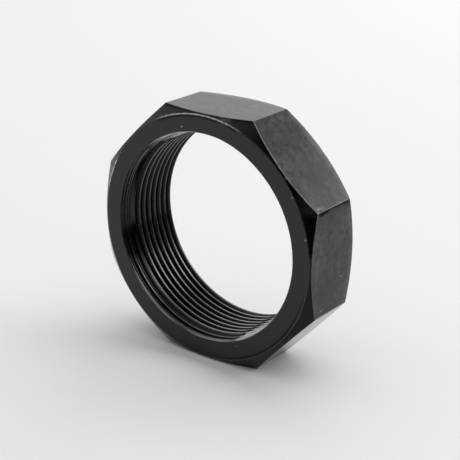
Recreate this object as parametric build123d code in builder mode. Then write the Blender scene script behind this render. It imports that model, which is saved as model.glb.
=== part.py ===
from build123d import *
import os
from math import cos, floor, pi, radians, tan

# Octagonal steering column nut, turned and threaded from one piece of blackened steel.
# It stands on one of its flats. Its bore runs along Y, with the front seat face towards -Y, and
# the origin is at the centre of the bore, halfway between the two seat faces. Millimetres.

# Internal left-hand thread of the metric 60 degree form
thread_diameter = 40.0
thread_pitch = 1.5
thread_angle = 60.0
thread_crossing = 0.95  # where a groove crosses the top of the bore, measured from the middle

# Octagonal bar, sized from the thread and the wall that is left between its root and each flat
flat_count = 8
wall_over_thread = 3.5
across_flats = thread_diameter + 2 * wall_over_thread
thickness = 14.5
corner_radius = 0.3

# Turned chamfer on each side: how far inside the flats it leaves the seat face, and its angle to it
front_face_inset = 0.4
rear_face_inset = 1.4
front_chamfer_angle = 37.0
rear_chamfer_angle = 39.0

# Lead-in at the front, shallower than the thread, and the edge breaks of the two mouths
lead_depth_in_wall = 0.55
lead_length = 2.75
lead_cone_angle = 30.0
front_edge_break = 0.05
rear_edge_break = 0.1

# Thread form worked out from the pitch: five eighths of the sharp height, flat at the groove's root
flank_slope = tan(radians(thread_angle / 2))
sharp_height = thread_pitch / 2 / flank_slope
thread_height = sharp_height * 5 / 8
root_flat = thread_pitch / 8
groove_overrun = thread_pitch / 8

# Radii and faces
front_y = -thickness / 2
rear_y = thickness / 2
bore_radius = thread_diameter / 2 - thread_height
lead_radius = bore_radius + lead_depth_in_wall
front_face_radius = across_flats / 2 - front_face_inset
rear_face_radius = across_flats / 2 - rear_face_inset
corner_reach = across_flats / 2 / cos(pi / flat_count)
turning_radius = corner_reach * 1.05  # the chamfer cones are drawn to just past the bar's corners


def blank_outline():
    """Half section of the turned blank: two seat faces, each with its chamfer cone."""
    front_drop = (turning_radius - front_face_radius) * tan(radians(front_chamfer_angle))
    rear_drop = (turning_radius - rear_face_radius) * tan(radians(rear_chamfer_angle))
    Polyline(
        (0, front_y),
        (front_face_radius, front_y),
        (turning_radius, front_y + front_drop),
        (turning_radius, rear_y - rear_drop),
        (rear_face_radius, rear_y),
        (0, rear_y),
        close=True,
    )


def bore_outline():
    """Half section of the empty bore: edge break, lead-in, cone, thread crests, edge break."""
    cone_length = lead_depth_in_wall / tan(radians(lead_cone_angle))
    Polyline(
        (0, front_y),
        (lead_radius + front_edge_break, front_y),
        (lead_radius, front_y + front_edge_break),
        (lead_radius, front_y + lead_length),
        (bore_radius, front_y + lead_length + cone_length),
        (bore_radius, rear_y - rear_edge_break),
        (bore_radius + rear_edge_break, rear_y),
        (0, rear_y),
        close=True,
    )


def groove_outline():
    """Section of the thread groove: +X runs into the wall, and Y runs along the bore."""
    root = root_flat / 2
    mouth = root + (thread_height + groove_overrun) * flank_slope
    Polyline(
        (thread_height, root),
        (thread_height, -root),
        (-groove_overrun, -mouth),
        (-groove_overrun, mouth),
        close=True,
    )


# One turn of the groove, from the top of the bore round to the top again
with BuildPart() as groove_turn:
    with BuildLine():
        turn = Helix(
            thread_pitch, thread_pitch, bore_radius, direction=(0, 1, 0), lefthand=True
        )
    with BuildSketch(Plane(origin=turn @ 0, x_dir=(0, 0, 1), z_dir=turn % 0)):
        with BuildLine():
            groove_outline()
        make_face()
    sweep(path=turn, is_frenet=True)

# The turns follow each other from just outside the front face to just outside the rear face
turns_before_middle = floor((front_y - thread_crossing) / thread_pitch) - 1
turns_after_middle = floor((rear_y - thread_crossing) / thread_pitch) + 1
turn_starts = [
    (0, thread_crossing + thread_pitch * number, 0)
    for number in range(turns_before_middle, turns_after_middle + 1)
]

with BuildPart() as nut:
    # Octagonal bar with a flat underneath and slightly rounded corners
    with BuildSketch(Plane.XZ):
        RegularPolygon(across_flats / 2, flat_count, major_radius=False, rotation=180 / flat_count)
    extrude(amount=thickness / 2, both=True)
    fillet(nut.edges().filter_by(Axis.Y), corner_radius)

    # The lathe turns both chamfers, which leave a curved edge on every flat
    with BuildSketch(Plane.XY):
        with BuildLine():
            blank_outline()
        make_face()
    revolve(axis=Axis.Y, mode=Mode.INTERSECT)

    # Bore with its lead-in
    with BuildSketch(Plane.XY):
        with BuildLine():
            bore_outline()
        make_face()
    revolve(axis=Axis.Y, mode=Mode.SUBTRACT)

    # Thread, one turn after another
    with Locations(*turn_starts):
        add(groove_turn.part, mode=Mode.SUBTRACT)

nut.part.label = "nut"
os.makedirs("parts", exist_ok=True)
export_step(nut.part, "parts/nut.step")
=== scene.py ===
import bpy
import math
import numpy as np
from mathutils import Matrix, Vector, noise


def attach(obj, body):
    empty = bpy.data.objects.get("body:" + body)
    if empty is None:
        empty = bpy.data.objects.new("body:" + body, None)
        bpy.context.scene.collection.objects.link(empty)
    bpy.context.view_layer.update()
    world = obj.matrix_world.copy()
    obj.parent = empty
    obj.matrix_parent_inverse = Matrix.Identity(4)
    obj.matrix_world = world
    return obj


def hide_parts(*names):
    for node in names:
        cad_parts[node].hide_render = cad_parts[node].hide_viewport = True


# Steering column nut in blackened steel. The mesh is worked out in millimetres, in the CAD's frame:
# bore along Y, front face towards -Y, standing on the flat at the bottom. Angles around the bore run
# from +X towards +Z. Each table of pairs runs once round the nut: a place in degrees, and there a share
# from 0 to 1 where nothing else is said.

MM = 0.001

# Octagonal bar and its turned chamfers, as in the part's source
THREAD_DIAMETER = 40.0
WALL_OVER_THREAD = 3.5
ACROSS_FLATS = THREAD_DIAMETER + 2 * WALL_OVER_THREAD
THICKNESS = 14.5
FRONT_FACE_RADIUS = ACROSS_FLATS / 2 - 0.4
REAR_FACE_RADIUS = ACROSS_FLATS / 2 - 1.4
FRONT_SLOPE = math.tan(math.radians(37))
REAR_SLOPE = math.tan(math.radians(39))
FRONT_Y = -THICKNESS / 2
REAR_Y = THICKNESS / 2

# Thread, lead-in and mouths, as in the part's source
PITCH = 1.5
THREAD_CROSSING = 0.95
FLANK = math.tan(math.radians(30))
ROOT_FLAT = PITCH / 8
ROOT_RADIUS = THREAD_DIAMETER / 2
CREST_RADIUS = ROOT_RADIUS - PITCH / 2 / FLANK * 5 / 8
LEAD_RADIUS = CREST_RADIUS + 0.55
LEAD_END = FRONT_Y + 2.75
CONE_SLOPE = math.tan(math.radians(30))
CONE_END = LEAD_END + (LEAD_RADIUS - CREST_RADIUS) / CONE_SLOPE
FRONT_BREAK = 0.05
REAR_BREAK = 0.1

# What belongs to the lead-in fades out over this length (mm)
LEAD_BLEND = 0.5
# The mouth is not quite round, so its radius changes along it (mm)
MOUTH_SHAPE = [
    (-150, -0.12), (-122, -0.3), (-71, -0.32), (-46, -0.4), (-34, -0.36), (-20, -0.2), (-4, -0.07),
    (15, 0.0), (55, 0.03), (80, 0.15), (95, 0.08), (115, 0.0), (195, 0.0), (210, -0.12),
]
# Where the thread has run out in the lead-in
LEAD_SMOOTH = [
    (-71, 0.0), (-64, 1.0), (-20, 1.0), (0, 0.5), (85, 0.6), (95, 1.0), (122, 1.0), (134, 0.0),
]
# The thread stops just short of the front mouth, which has a plain land (mm)
MOUTH_LAND = 0.3
LAND_BLEND = 0.15
# A second, finer helical line runs midway between the grooves of the lead-in (mm)
SCORE_DEPTH = 0.07
SCORE_WIDTH = 0.13

# Bare metal in the lead-in: zones of it that are a painted highlight, and worn lines that are partly
# wear and partly painted highlights, by their distance from the middle of a groove and of a fine line (mm)
PAINTED_LEAD_HIGHLIGHT = [
    (-68.5, 0.0), (-66, 0.7), (-63, 1.0), (-40, 0.85), (-20, 0.2), (85, 0.2), (94, 0.8), (106, 1.0),
    (119, 1.0), (124, 0.4), (128, 0.0),
]
LEAD_BARE = 1.4
GROOVE_LINE = -0.27
SCORE_LINE = -0.18
LINE_WIDTH = 0.09
LINE_BARE = 1.25
# Painted highlight of bare metal on the thread behind the lead-in, and how deep into its grooves it goes
# (mm)
PAINTED_THREAD_HIGHLIGHT = [
    (-66.5, 0.0), (-64, 1.0), (-48, 1.0), (-38, 0.0), (104, 0.0), (110, 1.0), (121, 1.0), (124, 0.0),
]
PAINTED_HIGHLIGHT_BARE = 1.4
PAINTED_HIGHLIGHT_DEPTH = 0.35
# Painted dark reflection: a dark line along the bore beside each painted highlight
PAINTED_DARK_LINE = [
    (-71, 0.0), (-69.5, 0.9), (-68, 1.0), (-66, 0.0), (124, 0.0), (125.5, 1.0), (127, 1.0), (128.5, 0.0),
]
# Painted shade on the land just behind the left side of the mouth, with its middle and reach (mm)
LAND_PAINTED_SHADE = [(-150, 0.3), (-138, 0.0), (118, 0.0), (132, 1.0), (200, 1.0)]
LAND_PAINTED_SHADE_MIDDLE = 0.36
LAND_PAINTED_SHADE_REACH = 0.26
# Painted dark reflection across the whole lead-in and its cone, and how much bare metal it covers
LEAD_PAINTED_DARK = [(181, 0.0), (189, 0.9), (203, 1.0), (217, 0.0)]
DARK_COVER = 0.6
# Painted shade on the lead-in, and how much of it its worn lines and painted highlights take back
LEAD_PAINTED_SHADE = 0.72
LINE_LIGHT = 0.6
PAINTED_HIGHLIGHT_LIGHT = 0.9
# How much less painted shade there is on the cone behind the lead-in, with its middle and reach (mm)
CONE_LIGHT = 0.5
CONE_LIGHT_MIDDLE = 0.4
CONE_LIGHT_REACH = 0.6

# Bare metal along the thread crests, which count as such down to a depth (mm)
CREST_BARE = [
    (-85, 0.45), (-62, 0.6), (-40, 0.5), (0, 0.1), (100, 0.14), (122, 0.1), (150, 0.0), (190, 0.0),
    (203, 0.12), (218, 0.45), (226, 0.55), (238, 0.2), (250, 0.14), (262, 0.3), (275, 0.45),
]
CREST_DEPTH = 0.05
# Painted shade in the grooves: where they keep some light, and the depth from which they are dark (mm)
LIT_GROOVES = [
    (-85, 0.3), (-75, 0.65), (-50, 0.7), (-30, 0.3), (120, 0.1), (150, 0.3), (175, 0.0), (265, 0.0),
]
GROOVE_DEPTH = 0.12
# Bare metal along both mouths, and how far it reaches into the bore (mm)
MOUTH_BARE = [
    (-150, 0.0), (-141, 0.5), (-130, 0.65), (-120, 0.95), (-114, 0.7), (-109, 0.3), (-105, 0.05),
    (-100, 0.35), (-94, 0.65), (-85, 0.85), (-79, 0.85), (-72, 0.45), (-64, 0.4), (-50, 0.5), (-32, 0.5),
    (-20, 0.1), (88, 0.1), (95, 0.8), (110, 0.7), (117, 0.2), (126, 0.0),
]
MOUTH_WEAR_REACH = 0.12
REAR_BARE = [(110, 0.1), (185, 0.1), (200, 0.5), (240, 0.7), (270, 0.7), (284, 0.6), (292, 0.2)]
REAR_WEAR_REACH = 0.5

# Bare metal along the rim of the front face and along the front edge of the flats, how each is spread
# over the rows of its rounding, and the painted shade of a dark line beside the rim and the edge
RIM_BARE = [
    (68, 0.0), (74, 0.45), (80, 0.9), (97, 0.8), (112, 0.55), (118, 0.0), (149, 0.0), (153, 0.8),
    (163, 0.8), (170, 0.0),
]
RIM_LEAST = 0.03
RIM_SPREAD = (0, 0.2, 1.2, 1.4, 0.9)
RIM_PAINTED_SHADE = [(-80, 0.0), (-70, 0.8), (-25, 0.8), (-8, 0.0), (68, 0.0), (73, 1.0), (114, 1.0), (118, 0.0)]
FRONT_EDGE_BARE = [
    (-70, 0.05), (-20, 0.12), (18, 0.1), (22, 0.6), (30, 0.55), (45, 0.5), (52, 0.6), (66, 0.6),
    (68, 0.05), (74, 0.25), (83, 0.2), (90, 0.0), (150, 0.1), (158, 0.6), (172, 0.5), (180, 0.0),
]
FRONT_EDGE_SPREAD = (0, 0, 0.5, 1.0, 0.4)
TOP_EDGE_PAINTED_SHADE = 1.0
FRONT_EDGE_PAINTED_SHADE = 0.3
EDGE_PAINTED_SHADE_FALL = 0.9
# Bare metal along the two rear edges and along the corners between the flats, all the same all round.
# A corner's is measured in spans of its rounding
REAR_EDGE_BARE = 0.25
REAR_EDGE_SPREAD = (0.2, 0.6, 1.0, 0.6, 0.2)
CORNER_BARE = 0.45
CORNER_MIDDLE = 0.5
CORNER_REACH = 0.4
# How much less the turned chamfers shine: evenly at the rear, and in front a painted shade that changes
# round the nut
CHAMFER_SHADE = 0.2
FRONT_CHAMFER_PAINTED_SHADE = [
    (-70, 0.42), (-50, 0.45), (-15, 0.6), (10, 0.6), (22, 0.68), (34, 0.95), (52, 0.96), (60, 0.8),
    (66, 0.4), (74, 0.1), (84, 0.05), (95, 0.3), (125, 0.32), (136, 0.6), (142, 0.9), (152, 0.85),
    (158, 0.75), (172, 0.6), (200, 0.2),
]

# Small nicks and rubbed spots: place, reach and depth (mm), how bare they are and their painted shade
NICKS = [
    ((19.35, -7.25, 12.26), 0.24, 0.08, 0.5, 0.0),
    ((22.3, -7.25, 5.3), 0.24, 0.08, 0.5, 0.0),
    ((17.87, -7.13, 15.36), 0.32, 0.08, 0.8, 0.0),
    ((22.96, -4.84, 10.27), 0.34, 0.04, 0.7, 0.0),
    ((23.0, -4.5, 10.35), 0.3, 0.04, 0.7, 0.0),
    ((23.45, -4.4, 9.8), 0.75, 0.16, 0.0, 0.8),
    ((23.5, -3.3, 9.75), 0.6, 0.12, 0.0, 0.7),
    ((23.05, -4.0, 10.2), 0.3, 0.0, 0.35, 0.0),
    ((23.1, -3.6, 10.15), 0.3, 0.0, 0.35, 0.0),
    ((23.15, -3.2, 10.1), 0.3, 0.0, 0.4, 0.0),
    ((23.2, -2.8, 10.0), 0.3, 0.0, 0.35, 0.0),
    ((3.63, -6.32, 23.5), 0.22, 0.05, 1.0, 0.0),
    ((5.6, -6.35, 23.5), 0.22, 0.05, 0.8, 0.0),
    ((23.5, -3.53, -8.84), 0.3, 0.05, 0.4, 0.3),
    ((21.9, -3.6, 12.0), 4.5, 0.0, 0.05, 0.0),
    ((20.3, -5.0, 15.8), 2.2, 0.0, 0.04, 0.0),
    ((4.6, -7.0, 23.2), 1.8, 0.0, 0.1, 0.0),
    # Painted shade, no nick: the lower flat's reflection of the floor's shadow near its corner
    ((11.9, 2.5, -22.5), 8.0, 0.0, 0.0, 1.0),
]
# Light specks on the surface: place and radius (mm), and how bare they are
SPECKS = [
    ((-4.6, -7.25, 20.35), 0.17), ((11.2, -7.25, -15.9), 0.14), ((7.9, -7.25, -19.0), 0.1),
    ((23.5, 2.59, -4.25), 0.16),
]
SPECK_BARE = 0.5

# Worn edges: how far their rounding reaches from the sharp edge, how much further the worn rim's does,
# and the limits of the flats' front edge
FACE_EDGE = 0.16
FLAT_EDGE = 0.13
REAR_EDGE = 0.15
RIM_WIDENING = 0.2
EDGE_LIMITS = (0.3, 2.2)
# How uneven these reaches are: strength, place and scale of the noise
RIM_NOISE = (0.25, 1.0, 30)
FRONT_EDGE_NOISE = (0.8, 3.0, 40)
TOP_EDGE_NOISE = (1.6, 9.0, 85)
BACK_EDGE_NOISE = (0.5, 5.0, 25)
REAR_NOISE = (0.25, 7.0, 30)
# How soft the edges of the thread, of both mouths and between the flats are (mm)
THREAD_SOFTNESS = 0.035
MOUTH_SOFTNESS = 0.05
CORNER_SOFTNESS = 0.05

# Direction and distance of each flat. The one at the lower right is turned a little and further out
EIGHTH = math.pi / 4
FLAT_TURNS = np.radians([0, 0, 0, 0, 0, 0, 0, 2.2])
FLAT_SHIFTS = np.array([0, 0, 0, 0, 0, 0, 0, 0.53])
FLAT_ANGLES = np.arange(8) * EIGHTH + FLAT_TURNS
FLAT_DISTANCES = ACROSS_FLATS / 2 + FLAT_SHIFTS

# Colours of the black oxide, its thin light haze and the bare steel
OXIDE = (0.0022, 0.002, 0.0024, 1)
HAZE = (0.045, 0.044, 0.046, 1)
BARE_STEEL = (0.56, 0.55, 0.54, 1)
SHINE_TINT = (0.97, 0.9, 1.0, 1)
# Noise of the finish, as its scale per metre and its detail: fine grain, clouds and patches of the haze,
# fine lines on the flats and on turned surfaces, and streaks in the bore. All is stretched in contrast
GRAIN = (3000, 3)
CLOUDS = (850, 8)
PATCHES = (110, 4)
FLAT_LINES = (2200, 3)
TURNED_LINES = (3500, 2)
STREAKS = (3000, 3)
NOISE_MIDDLE = (0.3, 0.7)
# How much slower the noise changes along the lines, and how far a radian around the bore counts (metres)
FLAT_STRETCH = (0.06, 1, 0.06)
TURNED_STRETCH = (1, 1, 0.2)
RADIAN_LENGTH = 0.003
# What the noise makes of each share, from its lowest to its highest value
HAZE_RANGE = (0.15, 0.85)
SPOT_RANGE = (0.35, 1.35)
STREAK_RANGE = (0.65, 1.05)
ROUGH_RANGE = (0.1, 0.15)
SHINE_RANGE = (0.425, 0.475)
MOTTLE_RANGE = (-0.16, 0.12)
# How much shine a full painted shade takes away, and how much roughness bare metal adds
SHADE_POWER = 0.93
BARE_ROUGHNESS = 0.2
# Relief of the finish: height of the fine lines against the grain, strength and depth (metres)
LINE_HEIGHT = 0.35
RELIEF_STRENGTH = 0.12
RELIEF_DEPTH = 0.00002
# A surface counts as turned where it faces this much along the bore's axis, and as the bore's inside
# this radius (metres)
TURNED_FACING = 0.3
BORE_LIMIT = 0.0201

# Room: level of the world's light, its brightest direction, how far towards that direction the light
# begins and is full (1 is straight towards it), and the curve between
ROOM_LEVEL = 1.08
BRIGHT_SIDE = (-0.25, 0.8, 0.48)
ROOM_DARK = -0.62
ROOM_FULL = 0.88
ROOM_CURVE = 0.7
# Stage: the floor's height and half its width, the two colours, how rough all is and how much each colour
# shines. The dark card and the pale backdrop have the angles that they run from and to (degrees from +X
# towards +Y), their distance, their top (metres) and how many faces they have
FLOOR_Z = -ACROSS_FLATS / 2 * MM
FLOOR_REACH = 4.0
PALE = (0.885, 0.885, 0.885, 1)
PALE_SHINE = 0.0
DARK = (0.01, 0.01, 0.01, 1)
DARK_SHINE = 0.5
STAGE_ROUGHNESS = 0.9
CARD = (-75, 64, 0.11, 0.024, 48)
BACKDROP = (195, 345, 2.4, 0.48, 40)

# Mesh rows of the outside: between its edges, over each edge's rounding and on to the rear mouth, closer
# together near each edge behind the first. The seat faces end at a ring around each mouth (mm)
OUTER_ROWS = (6, 4, 12, 4)
EDGE_ROWS = 5
END_ROWS = 6
ROW_CROWDING = 1.6
MOUTH_RING = 0.12
REAR_RING = 0.25
# Mesh rows of the bore, by distance from the middle of a groove, in the lead-in and over the crests
LEAD_STEPS = (0, 0.094, 0.2, 0.25, 0.31, 0.39, 0.49, 0.56, 0.61, 0.68)
CREST_STEPS = (0, 0.094, 0.33, 0.53, 0.5625, 0.6, 0.67)
# Mesh rows of the bore at fixed places: behind the front face and where its land ends, around both ends
# of the cone, and before the rear face. No other row comes closer to them than the clearance (mm)
FIXED_ROWS = np.array([
    FRONT_Y, FRONT_Y + 0.04, FRONT_Y + 0.09, FRONT_Y + 0.18, FRONT_Y + MOUTH_LAND,
    FRONT_Y + MOUTH_LAND + LAND_BLEND / 2, FRONT_Y + MOUTH_LAND + LAND_BLEND, LEAD_END - 0.06, LEAD_END,
    CONE_END, CONE_END + 0.06, REAR_Y - 0.2, REAR_Y - REAR_BREAK, REAR_Y - 0.05, REAR_Y,
])
ROW_CLEARANCE = 0.02
# Mesh columns, and the span of a corner's rounding
COLUMNS_PER_FLAT = 88
CORNER_SPAN = math.radians(0.28)


def corner_angles():
    """Angle of the corner after each flat, where two flats meet."""
    corners = []
    for k in range(8):
        a, b = FLAT_ANGLES[k], FLAT_ANGLES[(k + 1) % 8]
        lines = np.array([[math.cos(a), math.sin(a)], [math.cos(b), math.sin(b)]])
        x, z = np.linalg.solve(lines, [FLAT_DISTANCES[k], FLAT_DISTANCES[(k + 1) % 8]])
        corners.append(math.atan2(z, x) % (2 * math.pi))
    return sorted(corners)


def column_angles():
    """Angles of the mesh columns, with some exactly on each corner and its rounding."""
    corners = corner_angles()
    angles = []
    for start, end in zip(corners, corners[1:] + [corners[0] + 2 * math.pi]):
        flat = np.linspace(start + CORNER_SPAN, end - CORNER_SPAN, COLUMNS_PER_FLAT - 3)
        angles += [start - CORNER_SPAN / 2, start, start + CORNER_SPAN / 2, *flat]
    return np.array(angles)


def along(table, angle):
    """Value at an angle of a table that runs once round the nut."""
    degrees, values = zip(*table)
    return np.interp(np.degrees(angle), degrees, values, period=360)


def bar_radius(angle):
    """Distance from the axis to the octagon with its slightly rounded corners."""
    across = np.cos(angle[:, None] - FLAT_ANGLES[None, :])
    distances = np.where(across > 0.5, FLAT_DISTANCES / np.maximum(across, 0.5), np.inf)
    nearest = np.sort(distances, axis=1)
    return -smooth_max(-nearest[:, 0], -nearest[:, 1], CORNER_SOFTNESS)


def smooth_max(a, b, soft):
    """The larger of two values, with a rounded change from one to the other."""
    return (a + b + np.sqrt((a - b) ** 2 + soft**2)) / 2


def groove_place(angle, start):
    """Place along the bore of one turn of a left-hand helix, which may start further on."""
    return THREAD_CROSSING + start + PITCH * (angle - math.pi / 2) / (2 * math.pi)


def groove_phase(y, angle, start):
    """Place along the bore, measured from the nearest turn of a left-hand helix."""
    return (y - groove_place(angle, start) + PITCH / 2) % PITCH - PITCH / 2


def groove_radius(y, angle):
    """Radius of the left-hand thread groove's surface at a place along the bore."""
    off = np.abs(groove_phase(y, angle, 0))
    run_out = along(LEAD_SMOOTH, angle) * np.clip((CONE_END - y) / LEAD_BLEND, 0, 1)
    land = np.clip(1 - (y - FRONT_Y - MOUTH_LAND) / LAND_BLEND, 0, 1)
    return ROOT_RADIUS - np.maximum(off - ROOT_FLAT / 2, 0) / FLANK - np.maximum(run_out, land)


def score_share(y, angle):
    """1 in the middle of the fine line between two grooves, 0 outside it."""
    return np.clip(1 - np.abs(groove_phase(y, angle, PITCH / 2)) / SCORE_WIDTH, 0, 1)


def fade(off, reach):
    """1 where a distance is 0, falling smoothly to 0 beyond its reach."""
    return np.exp(-((off / reach) ** 2))


def worn_lines(y, angle):
    """1 along the edge before each groove and fine line, worn and partly a painted highlight, fading to 0
    beside it.
    """
    groove = fade(groove_phase(y, angle, 0) - GROOVE_LINE, LINE_WIDTH)
    score = fade(groove_phase(y, angle, PITCH / 2) - SCORE_LINE, LINE_WIDTH)
    return np.maximum(groove, score)


def open_bore_radius(y, angle):
    """Radius of the bore without its thread: mouth, lead-in, cone, crests and rear mouth."""
    shape = along(MOUTH_SHAPE, angle)
    lead = np.clip(LEAD_RADIUS + shape - (y - LEAD_END) * CONE_SLOPE, CREST_RADIUS, LEAD_RADIUS + shape)
    front = LEAD_RADIUS + shape + FRONT_BREAK - (y - FRONT_Y)
    rear = CREST_RADIUS + REAR_BREAK - (REAR_Y - y)
    mouths = smooth_max(front, rear, 0)
    score = SCORE_DEPTH * score_share(y, angle)
    scored = score * (y < LEAD_END) * (1 - along(LEAD_SMOOTH, angle))
    return smooth_max(lead + scored, mouths, MOUTH_SOFTNESS)


def bore_radius(y, angle):
    """Radius of the finished bore wall."""
    return smooth_max(open_bore_radius(y, angle), groove_radius(y, angle), THREAD_SOFTNESS)


def bore_rows(angle):
    """Places along the bore for one column: rows that follow the helix, and rows at fixed places."""
    turns = groove_place(angle, 0) + PITCH * np.arange(-7, 8)[:, None]
    rows = []
    for steps, low, high in ((LEAD_STEPS, FRONT_Y, LEAD_END), (CREST_STEPS, LEAD_END, REAR_Y)):
        phases = np.concatenate([-np.array(steps[:0:-1]), steps, [PITCH / 2]])
        helix = (turns + phases[None, :]).ravel()
        rows.append(helix[(helix > low) & (helix < high)])
    inside = np.concatenate(rows)
    clear = np.abs(inside[:, None] - FIXED_ROWS[None, :]).min(axis=1) > ROW_CLEARANCE
    return np.sort(np.concatenate([inside[clear], FIXED_ROWS]))


def round_corner(before, corner, after, reach, steps):
    """Points of a rounded corner of the section, for every column at once."""
    towards = before - corner
    onwards = after - corner
    start = corner + towards / np.linalg.norm(towards, axis=1, keepdims=True) * reach
    end = corner + onwards / np.linalg.norm(onwards, axis=1, keepdims=True) * reach
    rows = []
    for t in np.linspace(0, 1, steps):
        rows.append(start * (1 - t) ** 2 + corner * 2 * t * (1 - t) + end * t**2)
    return rows


def run(start, end, rows, crowding):
    """Points between two places of the section, ends left out, closer together near the start."""
    return [start + (end - start) * t**crowding for t in np.linspace(0, 1, rows + 2)[1:-1]]


def edge_noise(angles, strength, height, scale):
    """Even noise along an edge, as much up as down."""
    values = []
    for a in angles:
        place = Vector((math.cos(a) * scale, height, math.sin(a) * scale))
        values.append(noise.noise(place))
    return strength * np.array(values)[:, None]


def on_top_flat(angles):
    """True for the columns of the flat on top."""
    return np.abs((np.degrees(angles) + 22.5) % 360 - 112.5) < 22.5


def outer_places(angles):
    """Section's corners in every column: mouth, face rim, both edges of the flats, rear rim, rear mouth."""
    out = bar_radius(angles)
    ones = np.ones_like(out)
    corners = [
        (bore_radius(FRONT_Y * ones, angles) + MOUTH_RING, FRONT_Y * ones),
        (FRONT_FACE_RADIUS * ones, FRONT_Y * ones),
        (out, FRONT_Y + (out - FRONT_FACE_RADIUS) * FRONT_SLOPE),
        (out, REAR_Y - (out - REAR_FACE_RADIUS) * REAR_SLOPE),
        (REAR_FACE_RADIUS * ones, REAR_Y * ones),
        (bore_radius(REAR_Y * ones, angles) + REAR_RING, REAR_Y * ones),
    ]
    return [np.stack(corner, 1) for corner in corners]


def edge_reaches(angles):
    """How far the rounding of each of the four outer edges reaches, in every column."""
    worn_rim = (1 + RIM_WIDENING * along(RIM_BARE, angles))[:, None]
    chipped = on_top_flat(angles)[:, None] * edge_noise(angles, *TOP_EDGE_NOISE)
    ragged = edge_noise(angles, *FRONT_EDGE_NOISE) + chipped
    return [
        FACE_EDGE * worn_rim * (1 + edge_noise(angles, *RIM_NOISE)),
        FLAT_EDGE * np.clip(1 + ragged, *EDGE_LIMITS),
        FLAT_EDGE * (1 + edge_noise(angles, *BACK_EDGE_NOISE)),
        REAR_EDGE * (1 + edge_noise(angles, *REAR_NOISE)),
    ]


def edge_looks(angles):
    """How bare each outer edge is, how that is spread over its rows, and the edge's painted shade."""
    front_painted_shade = np.where(on_top_flat(angles), TOP_EDGE_PAINTED_SHADE, FRONT_EDGE_PAINTED_SHADE)
    rear = (REAR_EDGE_BARE + np.zeros_like(angles), REAR_EDGE_SPREAD, np.zeros_like(angles))
    return [
        (along(RIM_BARE, angles) + RIM_LEAST, RIM_SPREAD, along(RIM_PAINTED_SHADE, angles)),
        (along(FRONT_EDGE_BARE, angles), FRONT_EDGE_SPREAD, front_painted_shade),
        rear,
        rear,
    ]


def corner_wear(angles):
    """Bare metal along the corners between the flats."""
    past = (angles[:, None] - np.array(corner_angles())[None, :]) / CORNER_SPAN
    return CORNER_BARE * fade(past - CORNER_MIDDLE, CORNER_REACH).max(axis=1)


def outer_section(angles):
    """Rows of the outside, from the front mouth over both chamfers to the rear mouth, and their looks."""
    corners = outer_places(angles)
    nothing = np.zeros_like(angles)
    between_wear = (nothing, nothing, corner_wear(angles), nothing)
    # Painted shade on the front chamfer, and the even dulling of the rear chamfer
    between_painted_shade = (0, along(FRONT_CHAMFER_PAINTED_SHADE, angles), 0, CHAMFER_SHADE)
    place = corners[0]
    rows, wear, shade = [place], [nothing], [nothing]
    edges = zip(edge_reaches(angles), edge_looks(angles), OUTER_ROWS)
    for number, (reach, (bare, spread, dark), count) in enumerate(edges):
        rounded = round_corner(*corners[number : number + 3], reach, EDGE_ROWS)
        base = between_painted_shade[number]
        rows += run(place, rounded[0], count, ROW_CROWDING if number else 1.0) + rounded
        wear += [between_wear[number]] * count + [bare * share for share in spread]
        shade += [nothing + base] * count
        shade += [np.maximum(dark, base), np.maximum(dark * EDGE_PAINTED_SHADE_FALL, base)]
        shade += [nothing + base / 2, nothing, nothing]
        place = rounded[-1]
    rows += run(place, corners[-1], END_ROWS, 1.0) + [corners[-1]]
    wear += [nothing] * (END_ROWS + 1)
    shade += [nothing] * (END_ROWS + 1)
    return np.stack(rows), np.array(wear), np.array(shade)


class Surface:
    """Vertices and faces of the nut while it is put together, with their wear and their painted shade."""

    def __init__(self):
        self.places = []
        self.wear = []
        self.shade = []
        self.faces = []

    def add(self, radius, y, angle, wear, shade):
        place = Vector((radius * math.cos(angle), y, radius * math.sin(angle)))
        for centre, reach, depth, bare, dark in NICKS:
            near = (place - Vector(centre)).length / reach
            if near < 1:
                fall = (1 - near**2) ** 2
                place -= Vector((place.x, 0, place.z)).normalized() * depth * fall
                wear = max(wear, bare * fall)
                shade = max(shade, dark * fall)
        self.places.append(place)
        self.wear.append(wear)
        self.shade.append(shade)
        return len(self.places) - 1


def add_outside(surface, angles):
    """The outside as a grid of rows and columns. Returns the vertex numbers of its rows."""
    numbers = []
    for row, worn, dark in zip(*outer_section(angles)):
        values = zip(row, angles, worn, dark)
        numbers.append([surface.add(r, y, a, w, d) for (r, y), a, w, d in values])
    for low, high in zip(numbers, numbers[1:]):
        for j in range(len(angles)):
            k = (j + 1) % len(angles)
            surface.faces.append((low[j], high[j], high[k], low[k]))
    return numbers


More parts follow.
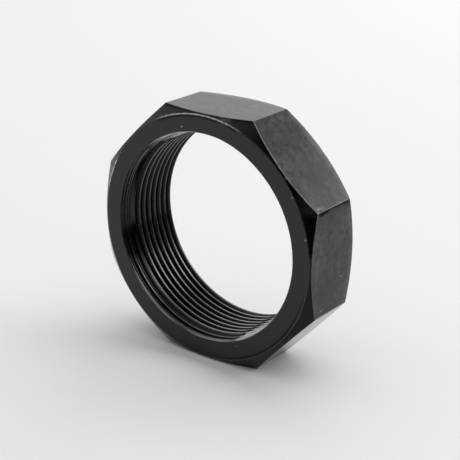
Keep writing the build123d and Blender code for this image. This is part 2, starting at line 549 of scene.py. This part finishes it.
def bore_looks(y, angle):
    """Wear and painted shade of the bore wall: rubbed crests and mouths, painted highlights, and dark
    grooves.
    """
    depth = bore_radius(y, angle) - open_bore_radius(y, angle)
    lead = np.clip((CONE_END - y) / LEAD_BLEND, 0, 1)
    mouth = fade(y - FRONT_Y, MOUTH_WEAR_REACH)
    rear = fade(y - REAR_Y, REAR_WEAR_REACH)
    lines = worn_lines(y, angle)
    # Painted highlight: bare metal where the thread behind the lead-in is bright
    rubbed = along(PAINTED_THREAD_HIGHLIGHT, angle) * (1 - lead)
    # Painted dark line beside each painted highlight in the bore
    edge = along(PAINTED_DARK_LINE, angle) * (1 - lead)
    # Painted dark reflection across the lead-in and its cone
    dark = along(LEAD_PAINTED_DARK, angle) * np.clip((CONE_END + LEAD_BLEND - y) / LEAD_BLEND, 0, 1)

    crest = np.clip(1 - depth / CREST_DEPTH, 0, 1)
    bare = along(CREST_BARE, angle) * (crest * (1 - lead) + LINE_BARE * lines * lead)
    # Painted highlights as bare metal in the lead-in and on the thread behind it
    bare = np.maximum(bare, LEAD_BARE * lead * along(PAINTED_LEAD_HIGHLIGHT, angle))
    bare = np.maximum(bare, PAINTED_HIGHLIGHT_BARE * rubbed * np.clip(1 - depth / PAINTED_HIGHLIGHT_DEPTH, 0, 1))
    bare = bare * (1 - edge) * (1 - DARK_COVER * dark)
    wear = np.maximum(bare, np.maximum(mouth * along(MOUTH_BARE, angle), rear * along(REAR_BARE, angle)))

    # Painted shade in the grooves, growing with their depth
    shade = np.clip(depth / GROOVE_DEPTH, 0, 1) * (1 - along(LIT_GROOVES, angle))
    shade = shade * (1 - CONE_LIGHT * fade(y - LEAD_END - CONE_LIGHT_MIDDLE, CONE_LIGHT_REACH))
    # Painted shade on the lead-in's wall and along its fine line
    shade = np.maximum(shade, LEAD_PAINTED_SHADE * (y < LEAD_END) * (1 - LINE_LIGHT * lines))
    shade = np.maximum(shade, score_share(y, angle) * (y < LEAD_END))
    shade = shade * (1 - PAINTED_HIGHLIGHT_LIGHT * along(PAINTED_LEAD_HIGHLIGHT, angle) * lead) * (1 - PAINTED_HIGHLIGHT_LIGHT * rubbed)
    shade = np.maximum(shade, np.maximum(edge, dark)) * (1 - mouth)
    # Painted shade on the land behind the mouth
    land = fade(y - FRONT_Y - LAND_PAINTED_SHADE_MIDDLE, LAND_PAINTED_SHADE_REACH)
    return wear, np.maximum(shade, land * along(LAND_PAINTED_SHADE, angle))


def add_bore(surface, angles):
    """The threaded bore, column by column. Returns each column's (y, vertex number) list."""
    columns = []
    for a in angles:
        ys = bore_rows(a)
        radii = bore_radius(ys, a)
        values = zip(ys, radii, *bore_looks(ys, a))
        columns.append([(y, surface.add(r, y, a, w, d)) for y, r, w, d in values])
    for left, right in zip(columns, columns[1:] + columns[:1]):
        stitch(surface, left, right)
    return columns


def stitch(surface, left, right):
    """Joins two neighbouring bore columns with triangles that lean as little as possible."""
    i = k = 0
    while i < len(left) - 1 or k < len(right) - 1:
        up_left = abs(left[i + 1][0] - right[k][0]) if i < len(left) - 1 else math.inf
        up_right = abs(left[i][0] - right[k + 1][0]) if k < len(right) - 1 else math.inf
        if up_left < up_right:
            surface.faces.append((left[i][1], right[k][1], left[i + 1][1]))
            i += 1
        else:
            surface.faces.append((left[i][1], right[k][1], right[k + 1][1]))
            k += 1


def add_seams(surface, outside, bore):
    """Joins the bore's mouths to the two seat faces, which have twice as many columns."""
    count = len(outside[0])
    for end, ring, flip in ((0, outside[0], False), (-1, outside[-1], True)):
        for j, column in enumerate(bore):
            here = column[end][1]
            there = bore[(j + 1) % len(bore)][end][1]
            a, b, c = (ring[(2 * j + s) % count] for s in range(3))
            for triangle in ((here, a, b), (here, b, there), (there, b, c)):
                surface.faces.append(triangle[::-1] if flip else triangle)


def make_nut():
    """The nut as one closed mesh object."""
    surface = Surface()
    angles = column_angles()
    outside = add_outside(surface, angles)
    bore = add_bore(surface, angles[::2])
    add_seams(surface, outside, bore)
    mesh = bpy.data.meshes.new("nut_detailed")
    mesh.from_pydata([p * MM for p in surface.places], [], surface.faces)
    # The shade at each vertex is painted shade: it dulls the shine where darkness is painted in
    for name, values in (("wear", surface.wear), ("shade", surface.shade)):
        mesh.attributes.new(name, "FLOAT", "POINT").data.foreach_set("value", values)
    mesh.shade_smooth()
    nut = bpy.data.objects.new("nut_detailed", mesh)
    bpy.context.scene.collection.objects.link(nut)
    weighted = nut.modifiers.new("weighted", "WEIGHTED_NORMAL")
    weighted.weight = 100
    return nut


def node(tree, kind, **inputs):
    """Adds a shader node and sets its inputs, each by a value or a link from another socket."""
    made = tree.nodes.new(kind)
    for name, value in inputs.items():
        set_or_link(tree, made.inputs[name.replace("_", " ")], value)
    return made


def set_or_link(tree, socket, value):
    """Gives a socket a value, or links another socket to it."""
    if isinstance(value, bpy.types.NodeSocket):
        tree.links.new(value, socket)
    else:
        socket.default_value = value


def calculate(tree, operation, first, second=0.0):
    """Adds a math node on two values or sockets and returns its result."""
    made = tree.nodes.new("ShaderNodeMath")
    made.operation = operation
    set_or_link(tree, made.inputs[0], first)
    set_or_link(tree, made.inputs[1], second)
    return made.outputs["Value"]


def plus(tree, first, second):
    """The sum of two values or sockets."""
    return calculate(tree, "ADD", first, second)


def times(tree, first, second):
    """The product of two values or sockets."""
    return calculate(tree, "MULTIPLY", first, second)


def without(tree, share):
    """1 minus a share."""
    return calculate(tree, "SUBTRACT", 1.0, share)


def ranged(tree, share, limits):
    """A share from 0 to 1, spread over the range between two values."""
    low, high = limits
    return plus(tree, times(tree, share, high - low), low)


def mix_colour(tree, share, first, second):
    """The first colour where the share is 0, the second where it is 1. Either may be a socket."""
    made = tree.nodes.new("ShaderNodeMix")
    made.data_type = "RGBA"
    set_or_link(tree, made.inputs["Factor"], share)
    set_or_link(tree, made.inputs["A"], first)
    set_or_link(tree, made.inputs["B"], second)
    return next(out for out in made.outputs if out.type == "RGBA")


def noise_at(tree, place, scale, detail):
    """Noise between 0 and 1, its middle stretched for contrast."""
    made = node(tree, "ShaderNodeTexNoise", Vector=place, Scale=scale, Detail=detail)
    low, high = NOISE_MIDDLE
    spread = node(tree, "ShaderNodeMapRange", Value=made.outputs["Fac"], From_Min=low, From_Max=high)
    return spread.outputs["Result"]


def stretched(tree, place, scale):
    """Coordinates scaled by a different amount along each axis."""
    return node(tree, "ShaderNodeMapping", Vector=place, Scale=scale).outputs["Vector"]


def attribute(tree, name):
    """A number that the mesh carries at its vertices."""
    made = node(tree, "ShaderNodeAttribute")
    made.attribute_name = name
    return made.outputs["Fac"]


def speck_mask(tree, place):
    """1 inside the small light specks, 0 elsewhere."""
    mask = None
    for centre, radius in SPECKS:
        away = node(tree, "ShaderNodeVectorMath")
        away.operation = "DISTANCE"
        tree.links.new(place, away.inputs[0])
        away.inputs[1].default_value = [c * MM for c in centre]
        inside = calculate(tree, "LESS_THAN", away.outputs["Value"], radius * MM)
        mask = inside if mask is None else calculate(tree, "MAXIMUM", mask, inside)
    return mask


def around_bore(tree, place):
    """Distance from the bore axis, and coordinates that change slowly around it: radius, Y, turn."""
    split = node(tree, "ShaderNodeSeparateXYZ", Vector=place)
    x, y, z = (split.outputs[axis] for axis in "XYZ")
    radius = calculate(tree, "SQRT", plus(tree, times(tree, x, x), times(tree, z, z)))
    slow = times(tree, calculate(tree, "ARCTAN2", z, x), RADIAN_LENGTH)
    return radius, node(tree, "ShaderNodeCombineXYZ", X=radius, Y=y, Z=slow).outputs["Vector"]


def turned_share(tree):
    """1 where the surface faces along the bore's axis, as seat faces, chamfers and flanks do, else 0."""
    normal = node(tree, "ShaderNodeNewGeometry").outputs["Normal"]
    facing = node(tree, "ShaderNodeSeparateXYZ", Vector=normal).outputs["Y"]
    return calculate(tree, "GREATER_THAN", calculate(tree, "ABSOLUTE", facing), TURNED_FACING)


def tool_marks(tree, place, ring, turned):
    """Fine lines from the tools: rings on turned surfaces, lines square to the bore on the flats."""
    rings = noise_at(tree, stretched(tree, ring, TURNED_STRETCH), *TURNED_LINES)
    lines = noise_at(tree, stretched(tree, place, FLAT_STRETCH), *FLAT_LINES)
    return plus(tree, times(tree, rings, turned), times(tree, lines, without(tree, turned)))


def bare_share(tree, place, radius, ring, grain):
    """How much bare metal shows: worn places, spotted outside and streaked in the bore, and specks."""
    in_bore = calculate(tree, "LESS_THAN", radius, BORE_LIMIT)
    spots = times(tree, ranged(tree, grain, SPOT_RANGE), without(tree, in_bore))
    streaks = times(tree, ranged(tree, noise_at(tree, ring, *STREAKS), STREAK_RANGE), in_bore)
    broken = times(tree, attribute(tree, "wear"), plus(tree, spots, streaks))
    bare = calculate(tree, "MAXIMUM", broken, times(tree, speck_mask(tree, place), SPECK_BARE))
    return calculate(tree, "MINIMUM", bare, 1.0)


def black_steel():
    """Satin black oxide on steel, with bare metal where the edges are rubbed."""
    material = bpy.data.materials.new("black_steel")
    material.use_nodes = True
    tree = material.node_tree
    shader = tree.nodes["Principled BSDF"]
    place = node(tree, "ShaderNodeTexCoord").outputs["Object"]
    radius, ring = around_bore(tree, place)
    turned = turned_share(tree)
    flats = without(tree, turned)
    shade = attribute(tree, "shade")
    grain = noise_at(tree, place, *GRAIN)
    cloud = noise_at(tree, place, *CLOUDS)
    patch = noise_at(tree, place, *PATCHES)
    marks = tool_marks(tree, place, ring, turned)
    bare = bare_share(tree, place, radius, ring, grain)

    haze = times(tree, times(tree, cloud, ranged(tree, patch, HAZE_RANGE)), flats)
    haze = times(tree, haze, without(tree, shade))
    oxide = mix_colour(tree, haze, OXIDE, HAZE)
    tree.links.new(mix_colour(tree, bare, oxide, BARE_STEEL), shader.inputs["Base Color"])
    tree.links.new(bare, shader.inputs["Metallic"])

    rough = plus(tree, ranged(tree, cloud, ROUGH_RANGE), times(tree, bare, BARE_ROUGHNESS))
    tree.links.new(rough, shader.inputs["Roughness"])

    mottled = times(tree, ranged(tree, times(tree, cloud, patch), MOTTLE_RANGE), flats)
    shine = plus(tree, ranged(tree, marks, SHINE_RANGE), mottled)
    # Painted shade: the shine is dulled where the mesh carries shade
    dulled = without(tree, times(tree, shade, SHADE_POWER))
    tree.links.new(times(tree, dulled, shine), shader.inputs["Specular IOR Level"])
    shader.inputs["Specular Tint"].default_value = SHINE_TINT

    height = plus(tree, times(tree, marks, LINE_HEIGHT), grain)
    bump = node(
        tree, "ShaderNodeBump", Height=height, Strength=RELIEF_STRENGTH, Distance=RELIEF_DEPTH
    )
    tree.links.new(bump.outputs["Normal"], shader.inputs["Normal"])
    return material


def matt_piece(name, places, faces, colour, shine):
    """A plain matt piece for the stage."""
    mesh = bpy.data.meshes.new(name)
    mesh.from_pydata(places, [], faces)
    piece = bpy.data.objects.new(name, mesh)
    bpy.context.scene.collection.objects.link(piece)
    material = bpy.data.materials.new(name)
    material.use_nodes = True
    shader = material.node_tree.nodes["Principled BSDF"]
    shader.inputs["Base Color"].default_value = colour
    shader.inputs["Roughness"].default_value = STAGE_ROUGHNESS
    shader.inputs["Specular IOR Level"].default_value = shine
    mesh.materials.append(material)
    return piece


def pale_stage(name, places, faces):
    """A piece of the stage in plain pale matt white."""
    piece = matt_piece(name, places, faces, PALE, PALE_SHINE)
    return piece


def make_floor():
    """A pale floor under the nut, wide enough for every view."""
    sides = ((-1, -1), (1, -1), (1, 1), (-1, 1))
    corners = [(x * FLOOR_REACH, y * FLOOR_REACH, FLOOR_Z) for x, y in sides]
    return pale_stage("floor", corners, [(0, 1, 2, 3)])


def arc_wall(first, last, distance, top, count):
    """Places and faces of a low wall that stands on the floor along an arc around the nut."""
    places, faces = [], []
    for k in range(count + 1):
        turn = math.radians(first + (last - first) * k / count)
        x, y = distance * math.cos(turn), distance * math.sin(turn)
        places += [(x, y, FLOOR_Z), (x, y, top)]
        if k:
            faces.append((2 * k - 2, 2 * k, 2 * k + 1, 2 * k - 1))
    return places, faces


def make_backdrop():
    """A low pale wall behind the camera, which closes the horizon in views from the other side."""
    return pale_stage("backdrop", *arc_wall(*BACKDROP))


def make_world():
    """Soft white room: brightest behind the nut and above, fading to dark on the camera's side."""
    world = bpy.data.worlds.new("room")
    world.use_nodes = True
    bpy.context.scene.world = world
    tree = world.node_tree
    background = tree.nodes["Background"]
    background.inputs["Color"].default_value = (1, 1, 1, 1)
    ray = node(tree, "ShaderNodeTexCoord").outputs["Generated"]
    towards = node(tree, "ShaderNodeVectorMath")
    towards.operation = "DOT_PRODUCT"
    tree.links.new(ray, towards.inputs[0])
    towards.inputs[1].default_value = Vector(BRIGHT_SIDE).normalized()
    near = towards.outputs["Value"]
    lit = node(tree, "ShaderNodeMapRange", Value=near, From_Min=ROOM_DARK, From_Max=ROOM_FULL)
    level = times(tree, calculate(tree, "POWER", lit.outputs["Result"], ROOM_CURVE), ROOM_LEVEL)
    tree.links.new(level, background.inputs["Strength"])


def make_card():
    """A low dark card to the right of the nut, seen only in its reflections."""
    card = matt_piece("dark_card", *arc_wall(*CARD), DARK, DARK_SHINE)
    card.visible_camera = False
    card.visible_diffuse = False
    card.visible_shadow = False
    return card


def area_light(name, place, size, power, shown):
    """A soft box that points at the nut."""
    data = bpy.data.lights.new(name, "AREA")
    data.shape = "RECTANGLE"
    data.size, data.size_y = size
    data.energy = power
    light = bpy.data.objects.new(name, data)
    light.location = place
    light.rotation_euler = (-Vector(place)).to_track_quat("-Z", "Y").to_euler()
    light.visible_camera = False
    light.visible_glossy = shown
    bpy.context.scene.collection.objects.link(light)
    return light


def make_camera():
    """The photograph's viewpoint: long lens, a little above the nut and to its right."""
    azimuth = math.radians(37.348)
    elevation = math.radians(20.903)
    distance = 0.23413
    aim = Vector((0.00055, 0.00028, -0.00028))
    roll = math.radians(0.424)
    data = bpy.data.cameras.new("camera")
    data.sensor_width = 36
    data.lens = 99.24
    data.clip_start = 0.01
    camera = bpy.data.objects.new("camera", data)
    level = math.cos(elevation)
    back = Vector((math.sin(azimuth) * level, -math.cos(azimuth) * level, math.sin(elevation)))
    camera.location = back * distance
    look = (aim - camera.location).to_track_quat("-Z", "Y").to_matrix().to_4x4()
    turn = Vector((0, 0, 1))
    camera.rotation_euler = (look @ Matrix.Rotation(roll, 4, turn)).to_euler()
    bpy.context.scene.collection.objects.link(camera)
    bpy.context.scene.camera = camera


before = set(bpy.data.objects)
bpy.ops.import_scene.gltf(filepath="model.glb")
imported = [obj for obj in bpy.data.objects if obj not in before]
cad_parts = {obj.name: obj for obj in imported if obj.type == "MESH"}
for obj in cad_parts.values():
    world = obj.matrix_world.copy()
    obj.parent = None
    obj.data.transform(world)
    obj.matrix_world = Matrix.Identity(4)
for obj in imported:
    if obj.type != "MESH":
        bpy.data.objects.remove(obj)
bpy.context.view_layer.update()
bpy.context.scene.view_settings.view_transform = "Standard"
make_camera()
make_world()
make_floor()
make_backdrop()
area_light("key", place=(0.17, 0.68, 0.5), size=(1.3, 1.0), power=3.35, shown=False)
area_light("softbox", place=(0.45, 0.72, 0.34), size=(0.7, 0.35), power=1.0, shown=True)
make_card()
nut = make_nut()
nut.data.materials.append(black_steel())
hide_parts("nut")
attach(nut, "root")
